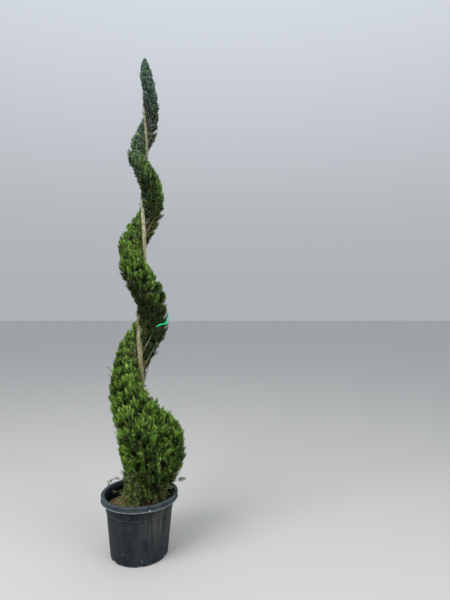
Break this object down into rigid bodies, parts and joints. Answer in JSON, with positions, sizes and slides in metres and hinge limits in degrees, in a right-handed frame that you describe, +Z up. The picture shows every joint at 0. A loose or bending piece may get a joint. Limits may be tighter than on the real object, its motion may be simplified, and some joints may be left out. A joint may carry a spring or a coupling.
{
  "type": "spiral topiary in a pot",
  "caption": "Tall clipped evergreen whose foliage winds down a bare trunk as one spiral ribbon, standing in a round plastic nursery pot of compost.",
  "frame": {"origin": "centre of the pot's flat underside, on the ground", "axes": "+Z up along the trunk, -Y towards the viewer of the front, +X to the viewer's right"},
  "size_m": [0.496, 0.4701, 2.966],
  "materials": {
    "pot_plastic": "dusty blue-black moulded plastic with scuffed rim",
    "compost": "rough brown compost with bark chips, moss and a few pale stones",
    "bark": "dull grey-beige flaking bark",
    "foliage": "matt scale-leaved sprays, yellow-green outside and dark inside",
    "ribbon_film": "thin glossy emerald plastic ribbon"
  },
  "bodies": {
    "root": {"pot": "pot_plastic", "soil": "compost", "trunk": "bark", "bough_01": "bark", "bough_02": "bark", "bough_03": "bark", "bough_04": "bark", "bough_05": "bark", "bough_06": "bark", "bough_07": "bark", "bough_08": "bark", "bough_09": "bark", "foliage_tip": "foliage", "foliage_band_01": "foliage", "foliage_band_02": "foliage", "foliage_band_03": "foliage", "foliage_band_04": "foliage", "foliage_band_05": "foliage", "foliage_band_06": "foliage", "foliage_band_07": "foliage", "foliage_band_08": "foliage", "foliage_band_09": "foliage", "foliage_band_10": "foliage", "foliage_band_11": "foliage", "foliage_band_12": "foliage", "foliage_band_13": "foliage", "foliage_band_14": "foliage", "foliage_band_15": "foliage", "foliage_band_16": "foliage", "foliage_band_17": "foliage", "ribbon": "ribbon_film"}
  },
  "joints": []
}
